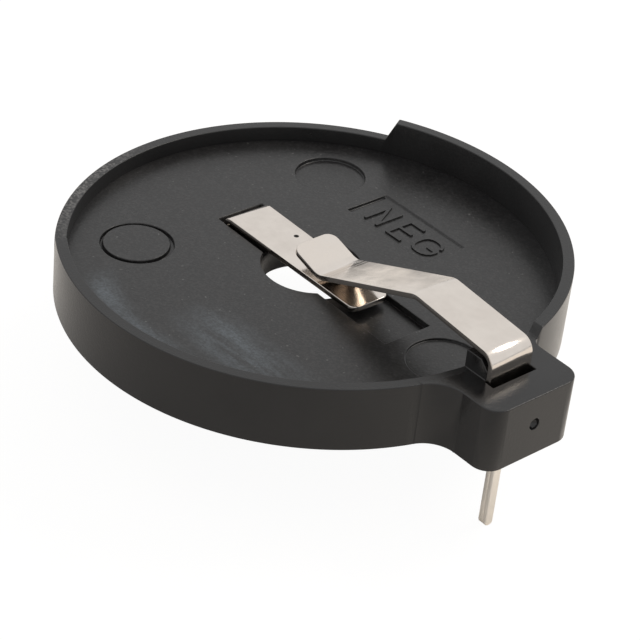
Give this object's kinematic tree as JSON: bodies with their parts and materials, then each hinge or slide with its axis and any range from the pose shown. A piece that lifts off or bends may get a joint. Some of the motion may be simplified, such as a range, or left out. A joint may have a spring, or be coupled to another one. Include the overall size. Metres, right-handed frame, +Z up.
{
  "type": "coin cell holder",
  "caption": "Round through-hole holder for a coin cell: a moulded dish with a lug, a sprung arm that presses on the cell from above and a flat contact strip under it.",
  "frame": {"origin": "axis of the round dish at the face that sits on the circuit board", "axes": "+Z up, away from the board; +X from the dish's axis to the lug that carries the sprung arm; +Y towards the high part of the rim and the polarity mark"},
  "size_m": [0.0244, 0.0218, 0.009],
  "materials": {
    "black_plastic": "fine moulded grain",
    "nickel_sheet": "bright nickel plate"
  },
  "bodies": {
    "root": {"housing": "black_plastic", "positive_contact": "nickel_sheet", "negative_contact": "nickel_sheet"}
  },
  "joints": []
}
